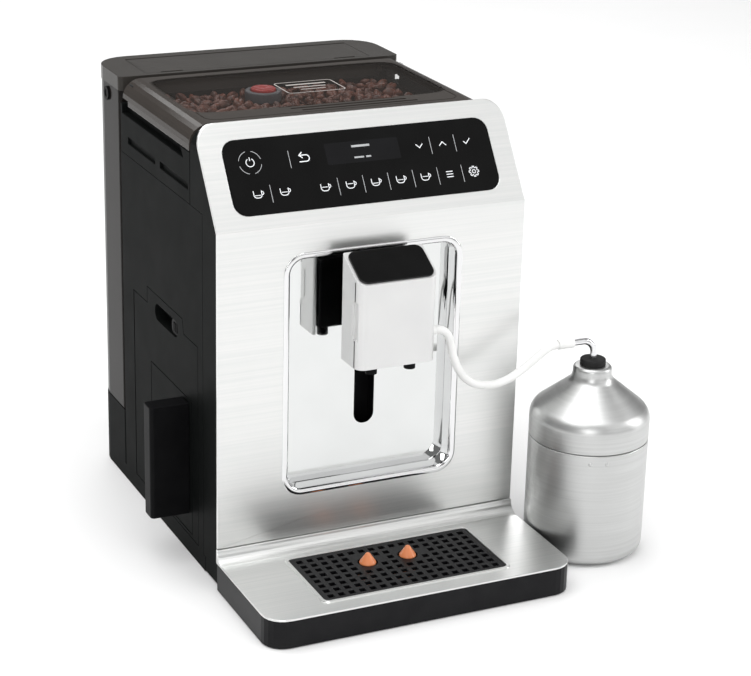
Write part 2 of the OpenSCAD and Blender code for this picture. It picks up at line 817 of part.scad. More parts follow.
module service_door() {
    x0 = -body_hw;
    x1 = -body_hw + 3;
    color(black) difference() {
        union() {
            difference() {
                prism_x(door_pts(-0.6), x0, x1);
                box([x0 - 1, door_pin_y, 10], [x1 + 1, door_y1 + 1, 200]);
            }
            rod(x0 + 1.6, door_pin_y, 1.6, 14.6, 169.4);
            rod(x0 + 1.6, door_pin_y, 0.8, side_z0 + 0.6, 173.5);
            prism_x(rr(-4, 50, 161, 178, 8), x1 - 0.1, x1 + 7);
        }
        prism_x(rr(-31, 59, 17, 125, 2), x0 - 1, x1 + 1);
        prism_x(rr(-2, 48, 163, 176, 6.4), x0 - 1, x1 + 5.5);
    }
}

module door_latch() {
    color(dark) union() {
        prism_x(rr(-1, 14, 164, 175, 4), -body_hw + 1.2, -body_hw + 8);
        for (y = [3, 6, 9]) box([-body_hw + 0.6, y - 0.6, 166], [-body_hw + 1.3, y + 0.6, 173]);
    }
}

module grounds_container() {
    color(black) difference() {
        union() {
            prism_x(rr(-30.4, 58.4, 17.6, 124.4, 1.6), -body_hw, -body_hw + 3);
            box([-body_hw + 2.9, -28, 19], [-34, 56, 114]);
        }
        box([-body_hw + 5, -26, 21], [-36, 54, 126]);
    }
}

module grounds_handle() {
    color(dark) difference() {
        union() {
            prism(rr2(fin_x, -body_hw - 4.02, -25, -9, 3, 3), 33, 121);
            box([-body_hw - 8, -25, 33], [-body_hw - 0.02, -9, 121]);
        }
        box([fin_x + 5, -12, 42], [-body_hw - 8, -8, 112]);
    }
}

// ---- milk jug and hose ----

module jug_body() {
    w = 1.5;
    pts = concat([[0, 0]], [for (p = arc(jug_r - 9, 9, 9, 270, 360, 8)) p], [[jug_r, jug_seam_z],
        [jug_r - w, jug_seam_z]], [for (p = arc(jug_r - 9, 9, 9 - w, 360, 270, 8)) p], [[0, w]]);
    color(steel) translate([jug_x, jug_y, 0]) rotate_extrude($fn = 96) polygon(pts);
}

// outer line of the jug's lid, drawn in by w
function lid_line(w) = concat([[jug_r - w, jug_seam_z + 0.5]],
    arc(jug_r - 13, jug_seam_z + 15, 13 - w, 0, 52, 5),
    arc(24, 141.5, 9.5 + w, 232, 185, 4), arc(11.5, 143.5, 3 - w, 0, 90, 4));

module jug_lid() {
    w = 1.5;
    outer = lid_line(0);
    inner = lid_line(w);
    n = len(inner);
    pts = concat(outer, [[8, 146.5], [8, 146.5 - w]], [for (i = [n - 1:-1:0]) inner[i]]);
    color(steel) translate([jug_x, jug_y, 0]) difference() {
        union() {
            rotate_extrude($fn = 96) polygon(pts);
            rod(0, 0, jug_r - 1, jug_seam_z + 0.5, jug_seam_z + 2);
            rod(0, 0, jug_r - 1.8, jug_seam_z - 7, jug_seam_z + 1);
        }
        rod(0, 0, jug_r - 2.8, jug_seam_z - 8, jug_seam_z + 3);
    }
}

module jug_stopper() {
    color(black) translate([jug_x, jug_y, 0]) difference() {
        union() {
            rod(0, 0, 9.6, 146.52, 151.5);
            rod(0, 0, 7.9, 138, 146.6);
        }
        rod(0, 0, 2.6, 137, 152);
    }
}

module hose_connector() {
    color(white) translate([jug_x, jug_y, 0]) difference() {
        rod_x(0, tube_z, 3.7, -31, -18);
        rod_x(0, tube_z, 2.52, -20.5, -17);
    }
}

// places the milk tube passes, from inside the jug to the hose
tube_route = [for (p = concat([[0, 14], [0, 80], [0, 150]], [for (a = [0:15:90])
    [10 * cos(a) - 10, tube_z - 10 + 10 * sin(a)]], [[-15, tube_z], [-20.5, tube_z]]))
    [jug_x + p[0], jug_y, p[1]]];

// places the hose passes, from the spout to the jug
hose_route = [[36.05, barb_y, barb_z], [39.5, -116, 189.5], [43, -116, 188], [46, -116, 185], [48, -116, 181],
    [49.5, -116, 175.5], [51, -116, 169], [53.5, -116.2, 162], [57, -116.5, 155], [62, -116.9, 149],
    [68.5, -117.3, 144.5], [76, -117.7, 142], [84, -118, 141.5], [92, -118.4, 143], [99.5, -118.8, 146],
    [106.5, -119.2, 150], [113, -119.6, 154.5], [119, -119.9, 159], [125, -120, 163], [130, -120, 165.3],
    [jug_x - 31.05, jug_y, tube_z]];

// ring i of a round tube with n sides through the points p, square to t0 at its start and t1 at its end
function unit(v) = v / norm(v);
function along(p, i, t0, t1) = i == 0 ? t0 : i == len(p) - 1 ? t1 : unit(p[i + 1] - p[i - 1]);
function ring(p, i, r, n, t0, t1) =
    let (t = along(p, i, t0, t1), u = [0, 1, 0], s = unit(u - (u * t) * t), b = cross(t, s))
    [for (k = [0:n - 1]) p[i] + r * (cos(360 * k / n) * s + sin(360 * k / n) * b)];

module tube(p, r, n, t0, t1) {
    m = len(p);
    walls = [for (i = [0:m - 2], k = [0:n - 1])
        [i * n + k, i * n + (k + 1) % n, (i + 1) * n + (k + 1) % n, (i + 1) * n + k]];
    first = [for (k = [n - 1:-1:0]) k];
    last = [for (k = [0:n - 1]) (m - 1) * n + k];
    polyhedron(points = [for (i = [0:m - 1]) each ring(p, i, r, n, t0, t1)],
        faces = concat([first, last], walls));
}

module jug_tube() {
    color(steel) tube(tube_route, 2.5, 12, [0, 0, 1], [-1, 0, 0]);
}

module milk_hose() {
    color(white) tube(hose_route, hose_r, 10, [1, 0, 0], [1, 0, 0]);
}

base_pan();
feet();
rear_wall();
left_panel();
right_panel();
cord_gland();
tank_socket();
front_frame();
front_panel();
control_glass();
control_board();
recess_bezel();
recess_plate();
spout_guide();
top_housing();
bean_hopper();
hopper_lid();
lid_pins();
grind_knob();
upper_burr();
lower_burr();
burr_gear();
grinder_housing();
grinder_motor();
motor_pinion();
grounds_chute();
brew_chamber();
brew_piston();
brew_screw();
brew_pinion();
brew_motor();
thermoblock();
pump();
pump_mounts();
main_board();
spout_carriage();
spout_cover();
spout_cap();
spout_nozzles();
hose_barb();
drip_tray();
tray_cover();
drip_grid();
float_left();
float_right();
water_tank();
tank_valve();
tank_rim();
tank_lid();
tank_bosses();
service_door();
door_latch();
grounds_container();
grounds_handle();
jug_body();
jug_lid();
jug_stopper();
jug_tube();
hose_connector();
milk_hose();
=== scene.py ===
"""Looks for a bean-to-cup coffee machine with a milk jug on a hose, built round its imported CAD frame."""
import math

import bpy
import numpy as np
from mathutils import Matrix, Vector


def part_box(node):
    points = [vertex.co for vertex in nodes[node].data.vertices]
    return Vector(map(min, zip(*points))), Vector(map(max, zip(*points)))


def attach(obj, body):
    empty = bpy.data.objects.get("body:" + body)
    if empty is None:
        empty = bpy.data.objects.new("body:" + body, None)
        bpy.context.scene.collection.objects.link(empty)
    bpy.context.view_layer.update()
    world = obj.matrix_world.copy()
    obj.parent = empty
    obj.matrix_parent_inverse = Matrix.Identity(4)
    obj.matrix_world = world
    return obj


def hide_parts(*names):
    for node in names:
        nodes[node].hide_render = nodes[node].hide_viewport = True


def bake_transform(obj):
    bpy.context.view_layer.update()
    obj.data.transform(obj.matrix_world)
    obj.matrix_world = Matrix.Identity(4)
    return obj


MM = 0.001
SEED = 7

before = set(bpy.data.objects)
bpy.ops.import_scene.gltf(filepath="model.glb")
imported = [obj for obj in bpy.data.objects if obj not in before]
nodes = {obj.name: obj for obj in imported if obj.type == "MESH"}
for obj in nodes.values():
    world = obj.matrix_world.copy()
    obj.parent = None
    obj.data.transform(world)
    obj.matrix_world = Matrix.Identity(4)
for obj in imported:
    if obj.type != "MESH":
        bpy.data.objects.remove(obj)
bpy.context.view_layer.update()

# Facts of the machine that several pieces share, in millimetres.
SLOPE_FOOT = (-89.0, 270.0)  # y and z where the steel sheet bends back
SLOPE_RISE = (46.0, 65.5)  # how far it runs back and up
GLASS_PROUD = 0.3  # how far the control glass stands out from the sheet
GRIND_AT = (-18.0, 78.0)  # x and y of the burrs' axis
JUG_AT = (166.5, -120.0)
JUG_R = 45.0
JUG_SEAM = 91.0
TUBE_Z = 166.0  # height of the steel tube's level end
HOSE_R = 3.0
HOSE_BORE = 1.9
LID_WINDOW_AT, LID_WINDOW_HALF = (0, 54), (102, 54)  # the clear part of the bean lid


# ---- camera ----

def aim_camera():
    """A camera at the photograph's viewing angle, held level but for a small roll."""
    azimuth, elevation, roll = math.radians(-25.46), math.radians(20.43), math.radians(1.5)
    target, distance = Vector((0.04443, 0.0, 0.14189)), 1.616
    back = Vector((math.sin(azimuth) * math.cos(elevation), -math.cos(azimuth) * math.cos(elevation),
                   math.sin(elevation)))
    right = (-back).cross(Vector((0, 0, 1))).normalized()
    up = right.cross(-back)
    right, up = (math.cos(roll) * right + math.sin(roll) * up,
                 math.cos(roll) * up - math.sin(roll) * right)
    data = bpy.data.cameras.new("camera")
    data.lens, data.sensor_width = 100.79, 36.0
    data.clip_start, data.clip_end = 0.05, 60.0
    camera = bpy.data.objects.new("camera", data)
    camera.matrix_world = Matrix((right, up, back)).transposed().to_4x4()
    camera.location = target + back * distance
    bpy.context.scene.collection.objects.link(camera)
    bpy.context.scene.camera = camera


aim_camera()


# ---- materials ----

class Paint:
    """A Principled material and short ways to drive it from procedural textures."""

    def __init__(self, name, colour, rough, metal=0.0, **sockets):
        self.material = bpy.data.materials.new(name)
        self.material.use_nodes = True
        self.tree = self.material.node_tree
        self.shader = self.tree.nodes["Principled BSDF"]
        self.set("Base Color", (*colour, 1.0))
        self.set("Roughness", rough)
        self.set("Metallic", metal)
        for key, value in sockets.items():
            self.set(key.replace("_", " "), value)
        self.coordinates = self.tree.nodes.new("ShaderNodeTexCoord").outputs["Object"]
        self.material.diffuse_color = (*colour, 1.0)

    def set(self, socket, value):
        self.shader.inputs[socket].default_value = value

    def add(self, kind, **values):
        node = self.tree.nodes.new(kind)
        for key, value in values.items():
            setattr(node, key, value)
        return node

    def link(self, source, target):
        self.tree.links.new(source, target)

    def noise(self, scale, stretch=(1, 1, 1), detail=3.0, source=None):
        """Noise of about one feature per 1/scale metres, drawn out by stretch."""
        mapping = self.add("ShaderNodeMapping")
        mapping.inputs["Scale"].default_value = [scale * s for s in stretch]
        self.link(source or self.coordinates, mapping.inputs["Vector"])
        noise = self.add("ShaderNodeTexNoise")
        noise.inputs["Scale"].default_value = 1.0
        noise.inputs["Detail"].default_value = detail
        self.link(mapping.outputs["Vector"], noise.inputs["Vector"])
        return noise.outputs["Fac"]

    def spread(self, value, low, high):
        """value, mostly between 0.3 and 0.7, spread between low and high."""
        node = self.add("ShaderNodeMapRange")
        for socket, number in (("From Min", 0.3), ("From Max", 0.7), ("To Min", low), ("To Max", high)):
            node.inputs[socket].default_value = number
        self.link(value, node.inputs["Value"])
        return node.outputs["Result"]

    def rough(self, value, low, high):
        self.link(self.spread(value, low, high), self.shader.inputs["Roughness"])
        return self

    def tint(self, value, first, second):
        ramp = self.add("ShaderNodeValToRGB")
        ramp.color_ramp.elements[0].position, ramp.color_ramp.elements[1].position = 0.3, 0.7
        ramp.color_ramp.elements[0].color = (*first, 1.0)
        ramp.color_ramp.elements[1].color = (*second, 1.0)
        self.link(value, ramp.inputs["Fac"])
        self.link(ramp.outputs["Color"], self.shader.inputs["Base Color"])
        return self

    def bump(self, value, strength, depth_mm):
        node = self.add("ShaderNodeBump")
        node.inputs["Strength"].default_value = strength
        node.inputs["Distance"].default_value = depth_mm * MM
        self.link(value, node.inputs["Height"])
        self.link(node.outputs["Normal"], self.shader.inputs["Normal"])
        return self

    def polar(self, centre):
        """Coordinates that run round an upright axis: turns, radius, height."""
        parts = self.add("ShaderNodeSeparateXYZ")
        shift = self.add("ShaderNodeVectorMath", operation="SUBTRACT")
        shift.inputs[1].default_value = (centre[0] * MM, centre[1] * MM, 0)
        self.link(self.coordinates, shift.inputs[0])
        self.link(shift.outputs["Vector"], parts.inputs["Vector"])
        angle = self.add("ShaderNodeMath", operation="ARCTAN2")
        self.link(parts.outputs["Y"], angle.inputs[0])
        self.link(parts.outputs["X"], angle.inputs[1])
        length = self.add("ShaderNodeVectorMath", operation="LENGTH")
        flat = self.add("ShaderNodeCombineXYZ")
        self.link(parts.outputs["X"], flat.inputs["X"])
        self.link(parts.outputs["Y"], flat.inputs["Y"])
        self.link(flat.outputs["Vector"], length.inputs[0])
        joined = self.add("ShaderNodeCombineXYZ")
        self.link(angle.outputs["Value"], joined.inputs["X"])
        self.link(length.outputs["Value"], joined.inputs["Y"])
        self.link(parts.outputs["Z"], joined.inputs["Z"])
        return joined.outputs["Vector"]


def moulded(name, dark, light, rough, grain_mm=0.55, depth_mm=0.05, specular=0.25):
    """Moulded plastic with a fine spark-eroded grain and faint unevenness."""
    paint = Paint(name, dark, rough, Specular_IOR_Level=specular)
    paint.tint(paint.noise(60), dark, light)
    paint.rough(paint.noise(35, detail=5.0), rough - 0.02, rough + 0.02)
    paint.bump(paint.noise(1000 / grain_mm, detail=2.0), 0.35, depth_mm)
    return paint.material


def brushed(name, dark, light, low, high, stretch, source=None, bump=0.12):
    """Brushed metal: long scratches along the axis that stretch leaves short."""
    paint = Paint(name, light, high, metal=1.0, Specular_IOR_Level=0.5)
    source = paint.polar(source) if source else None
    fine = paint.noise(1.0, stretch, detail=4.0, source=source)
    broad = paint.noise(0.22, stretch, detail=2.0, source=source)
    paint.tint(broad, dark, light)
    paint.rough(fine, low, high)
    paint.bump(fine, bump, 0.05)
    return paint.material


def polished(name, colour, rough):
    """Plated or polished metal with faint haze."""
    paint = Paint(name, colour, rough, metal=1.0)
    paint.rough(paint.noise(90, detail=5.0), max(0.0, rough - 0.03), rough + 0.04)
    paint.tint(paint.noise(25), [c * 0.96 for c in colour], colour)
    return paint.material


def smoked(name, colour, rough, alpha, specular):
    """Tinted plastic that lets 1 - alpha of the light through at each face."""
    paint = Paint(name, colour, rough, Specular_IOR_Level=specular, Alpha=alpha)
    paint.rough(paint.noise(50, detail=4.0), max(0.0, rough - 0.02), rough + 0.03)
    paint.tint(paint.noise(12), [c * 0.85 for c in colour], colour)
    return paint


CORNER_POWER = 10.0  # the higher this is, the squarer the window's corners


def windowed(paint, centre, half, inside):
    """Makes a smoked paint clearer within a rounded window, given in millimetres."""
    parts = paint.add("ShaderNodeSeparateXYZ")
    paint.link(paint.coordinates, parts.inputs["Vector"])
    terms = []
    for axis, middle, reach in zip("XY", centre, half):
        shift = paint.add("ShaderNodeMath", operation="MULTIPLY_ADD")
        shift.inputs[1].default_value = 1 / (reach * MM)
        shift.inputs[2].default_value = -middle / reach
        paint.link(parts.outputs[axis], shift.inputs[0])
        power = paint.add("ShaderNodeMath", operation="POWER")
        power.inputs[1].default_value = CORNER_POWER
        paint.link(shift.outputs["Value"], power.inputs[0])
        terms.append(power.outputs["Value"])
    both = paint.add("ShaderNodeMath", operation="ADD")
    for term, socket in zip(terms, both.inputs):
        paint.link(term, socket)
    fade = paint.add("ShaderNodeMapRange")
    outside = paint.shader.inputs["Alpha"].default_value
    limits = (("From Min", 0.85), ("From Max", 1.15), ("To Min", inside), ("To Max", outside))
    for socket, number in limits:
        fade.inputs[socket].default_value = number
    paint.link(both.outputs["Value"], fade.inputs["Value"])
    paint.link(fade.outputs["Result"], paint.shader.inputs["Alpha"])
    return paint


def glossy(name, dark, light, rough, specular=0.5, **sockets):
    """Shiny plastic or enamel, a little uneven."""
    paint = Paint(name, dark, rough, Specular_IOR_Level=specular, **sockets)
    paint.tint(paint.noise(30), dark, light)
    paint.rough(paint.noise(120, detail=4.0), max(0.0, rough - 0.03), rough + 0.05)
    return paint.material


def roasted(name):
    """Coffee beans: oily dark roast, no two quite alike."""
    paint = Paint(name, (0.05, 0.02, 0.012), 0.34, Specular_IOR_Level=0.5)
    paint.tint(paint.noise(140, detail=2.0), (0.05, 0.015, 0.009), (0.20, 0.064, 0.038))
    paint.rough(paint.noise(300), 0.26, 0.46)
    paint.bump(paint.noise(900), 0.4, 0.15)
    return paint.material


def glowing(name, colour, strength):
    """Marks lit from behind the glass."""
    paint = Paint(name, colour, 0.4, Emission_Color=(*colour, 1.0), Emission_Strength=strength)
    paint.tint(paint.noise(400), [c * 0.85 for c in colour], colour)
    return paint.material


GRAIN_ALONG_X = (18, 2600, 2600)
GRAIN_ROUND_JUG = (2.2, 300, 2600)
BLACK = moulded("black_case", (0.0050, 0.0057, 0.0055), (0.0060, 0.0068, 0.0066), 0.52, specular=0.025)
BLACK_FINE = moulded("black_fine", (0.004, 0.004, 0.005), (0.008, 0.008, 0.009), 0.36, 0.4, 0.02, 0.16)
DARK = moulded("dark_fittings", (0.004, 0.004, 0.0045), (0.006, 0.006, 0.0065), 0.42, specular=0.05)
RUBBER = moulded("rubber", (0.012, 0.012, 0.012), (0.02, 0.02, 0.02), 0.75, 0.8, 0.05, 0.2)
STEEL = brushed("front_steel", (0.75, 0.76, 0.75), (0.81, 0.81, 0.80), 0.31, 0.37, GRAIN_ALONG_X, bump=0.05)
JUG_STEEL = brushed("jug_steel", (0.53, 0.535, 0.53), (0.59, 0.595, 0.59), 0.36, 0.44,
                    GRAIN_ROUND_JUG, JUG_AT, bump=0.03)
CHROME = polished("bright_trim", (0.78, 0.78, 0.785), 0.05)
MIRROR = polished("mirror_plate", (0.72, 0.73, 0.725), 0.045)
TUBE_STEEL = polished("tube_steel", (0.78, 0.78, 0.79), 0.16)
SMOKE = windowed(smoked("smoke_lid", (0.048, 0.041, 0.036), 0.07, 0.97, 0.09),
                 LID_WINDOW_AT, LID_WINDOW_HALF, 0.20).material
SMOKE_HOPPER = smoked("smoke_hopper", (0.020, 0.016, 0.014), 0.12, 0.40, 0.08).material
SMOKE_TANK = smoked("smoke_tank", (0.012, 0.010, 0.009), 0.16, 0.965, 0.05).material
SMOKE_RIM = smoked("smoke_rim", (0.046, 0.042, 0.038), 0.16, 0.96, 0.10).material
GLASS = glossy("black_glass", (0.002, 0.002, 0.002), (0.004, 0.004, 0.004), 0.06, 0.10)
CAP_BLACK = glossy("cap_black", (0.002, 0.002, 0.002), (0.004, 0.004, 0.004), 0.08, 0.3)
SILVER = glossy("spout_silver", (0.66, 0.66, 0.66), (0.70, 0.70, 0.695), 0.32, 0.5, Metallic=0.45)
GREEN = glossy("circuit_board", (0.01, 0.07, 0.03), (0.02, 0.10, 0.045), 0.35)
RED = glossy("knob_red", (0.42, 0.02, 0.018), (0.50, 0.035, 0.03), 0.30)
GREY = glossy("knob_grey", (0.10, 0.10, 0.11), (0.14, 0.14, 0.15), 0.35, 0.3)
GEAR_WHITE = moulded("white_gear", (0.66, 0.64, 0.58), (0.75, 0.73, 0.68), 0.40, 0.6, 0.02, 0.4)
MOTOR_GREY = polished("motor_can", (0.42, 0.42, 0.43), 0.34)
CAST = moulded("cast_block", (0.30, 0.30, 0.31), (0.42, 0.42, 0.43), 0.48, 1.2, 0.12, 0.5)
BURR = brushed("burr_steel", (0.35, 0.35, 0.35), (0.55, 0.55, 0.55), 0.25, 0.45, (60, 60, 900), GRIND_AT)
COPPER = glossy("float_orange", (0.66, 0.20, 0.075), (0.78, 0.27, 0.11), 0.33, 0.5)
SILICONE = glossy("hose_silicone", (0.80, 0.80, 0.79), (0.88, 0.88, 0.87), 0.32, 0.45)
BEANS = roasted("coffee_beans")
MARKS = glowing("panel_marks", (0.80, 0.82, 0.84), 0.25)
FAINT_MARKS = glowing("panel_lines", (0.42, 0.43, 0.44), 0.10)
SCREEN = glossy("screen", (0.004, 0.004, 0.0045), (0.006, 0.006, 0.007), 0.14, 0.14)
PRINT = glossy("lid_print", (0.36, 0.33, 0.31), (0.44, 0.41, 0.39), 0.45, 0.2)

LOOKS = {
    BLACK: "base_pan rear_wall left_panel right_panel front_frame top_housing service_door grounds_container",
    BLACK_FINE: "drip_tray drip_grid",
    DARK: "cord_gland tank_socket spout_guide lid_pins grinder_housing grounds_chute spout_carriage"
          " spout_nozzles brew_piston tank_valve door_latch grounds_handle tank_bosses",
    RUBBER: "feet pump_mounts jug_stopper",
    STEEL: "front_panel tray_cover",
    CHROME: "recess_bezel",
    MIRROR: "recess_plate",
    GLASS: "control_glass",
    CAP_BLACK: "spout_cap",
    SILVER: "spout_cover",
    SMOKE: "hopper_lid",
    SMOKE_HOPPER: "bean_hopper",
    SMOKE_TANK: "water_tank",
    SMOKE_RIM: "tank_rim tank_lid",
    GREEN: "control_board main_board",
    GEAR_WHITE: "burr_gear motor_pinion brew_pinion",
    MOTOR_GREY: "grinder_motor brew_motor pump",
    CAST: "brew_chamber thermoblock",
    BURR: "upper_burr lower_burr brew_screw",
    COPPER: "float_left float_right",
    SILICONE: "hose_barb hose_connector",
    TUBE_STEEL: "jug_tube",
    JUG_STEEL: "jug_body jug_lid",
    GREY: "grind_knob",
}


def dress():
    """Gives each CAD node its material."""
    for material, names in LOOKS.items():
        for name in names.split():
            mesh = nodes[name].data
            mesh.materials.clear()
            mesh.materials.append(material)


dress()


SAME_POINT_MM = 0.01
FLAT_DEGREES = 0.6
SHARP_DEGREES = 32


def soften(name, radius_mm, segments=2):
    """Rounds a CAD node's sharp edges with modifiers, which leave its own mesh alone."""
    node = nodes[name]
    weld = node.modifiers.new("weld", "WELD")
    weld.merge_threshold = SAME_POINT_MM * MM
    merge = node.modifiers.new("merge_flat", "DECIMATE")
    merge.decimate_type = "DISSOLVE"
    merge.angle_limit = math.radians(FLAT_DEGREES)
    bevel = node.modifiers.new("bevel", "BEVEL")
    bevel.width = radius_mm * MM
    bevel.segments = segments
    bevel.limit_method = "ANGLE"
    bevel.angle_limit = math.radians(SHARP_DEGREES)
    bevel.use_clamp_overlap = True
    bevel.harden_normals = False


# ---- mesh tools ----

def shade(mesh, degrees):
    """Smooth shading, with edges sharper than degrees kept crisp."""
    for polygon in mesh.polygons:
        polygon.use_smooth = True
    mesh.set_sharp_from_angle(angle=math.radians(degrees))


def piece(name, points, faces, material, body, smooth=40):
    """A mesh piece from points in millimetres, riding on a CAD body."""
    mesh = bpy.data.meshes.new(name)
    mesh.from_pydata([[c * MM for c in p] for p in points], [], faces)
    mesh.validate()
    if smooth:
        shade(mesh, smooth)
    mesh.materials.append(material)
    made = bpy.data.objects.new(name, mesh)
    bpy.context.scene.collection.objects.link(made)
    if body:
        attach(made, body)
    return made


def arc(cx, cy, r, a0, a1, n):
    """Points on an arc from a0 to a1 degrees, in n steps."""
    return [(cx + r * math.cos(math.radians(a0 + (a1 - a0) * i / n)),
             cy + r * math.sin(math.radians(a0 + (a1 - a0) * i / n))) for i in range(n + 1)]


def lathe(name, profile, centre, material, body, turns=128):
    """A profile of (radius, height) turned about an upright axis. Points on the axis close it."""
    points, rows = [], []
    for r, z in profile:
        if r < 1e-6:
            rows.append([len(points)] * turns)
            points.append((centre[0], centre[1], z))
        else:
            rows.append(list(range(len(points), len(points) + turns)))
            points += [(centre[0] + r * math.cos(math.tau * k / turns),
                        centre[1] + r * math.sin(math.tau * k / turns), z) for k in range(turns)]
    faces = []
    for low, high in zip(rows, rows[1:] + rows[:1]):
        for k in range(turns):
            ring = [low[k], low[(k + 1) % turns], high[(k + 1) % turns], high[k]]
            ring = list(dict.fromkeys(ring))
            if len(ring) > 2:
                faces.append(ring)
    return piece(name, points, faces, material, body)


def smooth_line(points, step):
    """A curve through the points, resampled about every step millimetres."""
    p = np.array(points, float)
    p = np.vstack([2 * p[0] - p[1], p, 2 * p[-1] - p[-2]])
    out = []
    for i in range(1, len(p) - 2):
        n = max(2, int(np.linalg.norm(p[i + 1] - p[i]) / step))
        for t in np.arange(n) / n:
            out.append(0.5 * (2 * p[i] + (p[i + 1] - p[i - 1]) * t
                              + (2 * p[i - 1] - 5 * p[i] + 4 * p[i + 1] - p[i + 2]) * t ** 2
                              + (3 * p[i] - p[i - 1] - 3 * p[i + 1] + p[i + 2]) * t ** 3))
    return np.array(out + [p[-2]])


def tube(name, line, radius, sides, material, body, bore=0.0):
    """A round tube along a line, closed at both ends or bored right through."""
    line = np.array(line, float)
    ahead = np.gradient(line, axis=0)
    ahead /= np.linalg.norm(ahead, axis=1)[:, None]
    side = np.cross(ahead[0], (0.0, 1.0, 0.0) if abs(ahead[0][1]) < 0.9 else (1.0, 0.0, 0.0))
    rings = []
    for at, along in zip(line, ahead):
        side = side - along * (side @ along)
        side /= np.linalg.norm(side)
        rings.append((at, side, np.cross(along, side)))
    points, count = [], len(rings)
    radii = [radius, bore] if bore else [radius]
    turn = [math.tau * k / sides for k in range(sides)]
    for r in radii:
        for at, u, v in rings:
            points += [tuple(at + r * (math.cos(a) * u + math.sin(a) * v)) for a in turn]
    faces = []
    for layer in range(len(radii)):
        base = layer * count * sides
        for i in range(count - 1):
            for k in range(sides):
                a, b = base + i * sides + k, base + i * sides + (k + 1) % sides
                ring = [a, b, b + sides, a + sides]
                faces.append(ring if layer == 0 else ring[::-1])
    for i in (0, count - 1):
        rim = [i * sides + k for k in range(sides)]
        if bore:
            hole = [k + count * sides for k in rim]
            for k in range(sides):
                ring = [rim[k], hole[k], hole[(k + 1) % sides], rim[(k + 1) % sides]]
                faces.append(ring if i == 0 else ring[::-1])
        else:
            faces.append(rim[::-1] if i == 0 else rim)
    return piece(name, points, faces, material, body)


def ribbon(points, width, closed=False):
    """The two edges of a stroke along a flat line, mitred at its corners: (points, faces)."""
    kept = [a for i, a in enumerate(points) if i == 0 or math.dist(a, points[i - 1]) > 1e-6]
    p = np.array(kept, float)
    n = len(p)
    edges = []
    for i in range(n):
        before = p[i] - p[i - 1] if closed or i > 0 else p[1] - p[0]
        after = p[(i + 1) % n] - p[i] if closed or i < n - 1 else before
        before, after = before / np.linalg.norm(before), after / np.linalg.norm(after)
        along = before + after
        along /= np.linalg.norm(along)
        across = np.array([-along[1], along[0]])
        stretch = min(2.0, 1.0 / max(0.3, abs(along @ before)))
        edges.append((p[i] + across * width / 2 * stretch, p[i] - across * width / 2 * stretch))
    flat = [tuple(e) for pair in edges for e in pair]
    faces = []
    for i in range(n if closed else n - 1):
        j = (i + 1) % n
        faces.append([2 * i, 2 * i + 1, 2 * j + 1, 2 * j])
    return flat, faces


STROKE_HEIGHT = 0.12


def drawn(name, strokes, place, material, body):
    """Thin raised strokes on a surface. place turns flat millimetres and a height into a point."""
    points, faces = [], []
    for line, width, closed in strokes:
        flat, quads = ribbon(line, width, closed)
        low, high = len(points), len(points) + len(flat)
        points += [place(x, y, 0.0) for x, y in flat] + [place(x, y, STROKE_HEIGHT) for x, y in flat]
        faces += [[q + high for q in quad] for quad in quads]
        faces += [[q + low for q in quad[::-1]] for quad in quads]
        edges = dict.fromkeys(edge for quad in quads for edge in zip(quad, quad[1:] + quad[:1]))
        rim = [(a, b) for a, b in edges if (b, a) not in edges]
        faces += [[a + low, b + low, b + high, a + high] for a, b in rim]
    return piece(name, points, faces, material, body, smooth=0)


def slab(name, outline, low, high, place, material, body):
    """A flat plate with the given outline between two heights over a surface."""
    n = len(outline)
    points = [place(x, y, low) for x, y in outline] + [place(x, y, high) for x, y in outline]
    faces = [list(range(n))[::-1], list(range(n, 2 * n))]
    faces += [[i, (i + 1) % n, (i + 1) % n + n, i + n] for i in range(n)]
    return piece(name, points, faces, material, body)


def rounded(x0, x1, y0, y1, r, n=6):
    """A rectangle's outline with corners of radius r, each in n steps."""
    return (arc(x1 - r, y1 - r, r, 0, 90, n) + arc(x0 + r, y1 - r, r, 90, 180, n)
            + arc(x0 + r, y0 + r, r, 180, 270, n) + arc(x1 - r, y0 + r, r, 270, 360, n))


# ---- milk hose ----

HOSE_ROUTE = [(36.05, -116, 190), (39.5, -116, 189.5), (43, -116, 188), (46, -116, 185), (48, -116, 181),
              (49.5, -116, 175.5), (51, -116, 169), (53.5, -116.2, 162), (57, -116.5, 155), (62, -116.9, 149),
              (68.5, -117.3, 144.5), (76, -117.7, 142), (84, -118, 141.5), (92, -118.4, 143),
              (99.5, -118.8, 146), (106.5, -119.2, 150), (113, -119.6, 154.5), (119, -119.9, 159),
              (125, -120, 163), (130, -120, 165.3), (135.45, -120, 166)]


def hose():
    """The hose in two lengths that meet at its lowest bend."""
    middle, step, sides = 11, 1.6, 20
    first = smooth_line(HOSE_ROUTE[:middle + 1], step)
    second = smooth_line(HOSE_ROUTE[middle:], step)
    near = tube("milk_hose_spout_end", first, HOSE_R, sides, SILICONE, None, bore=HOSE_BORE)
    far = tube("milk_hose_jug_end", second, HOSE_R, sides, SILICONE, None, bore=HOSE_BORE)
    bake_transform(near)
    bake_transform(far)
    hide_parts("milk_hose")

    def length(line):
        return float(np.linalg.norm(np.diff(line, axis=0), axis=1).sum()) * MM
    length(first)
    length(second)


hose()


# ---- milk jug ----

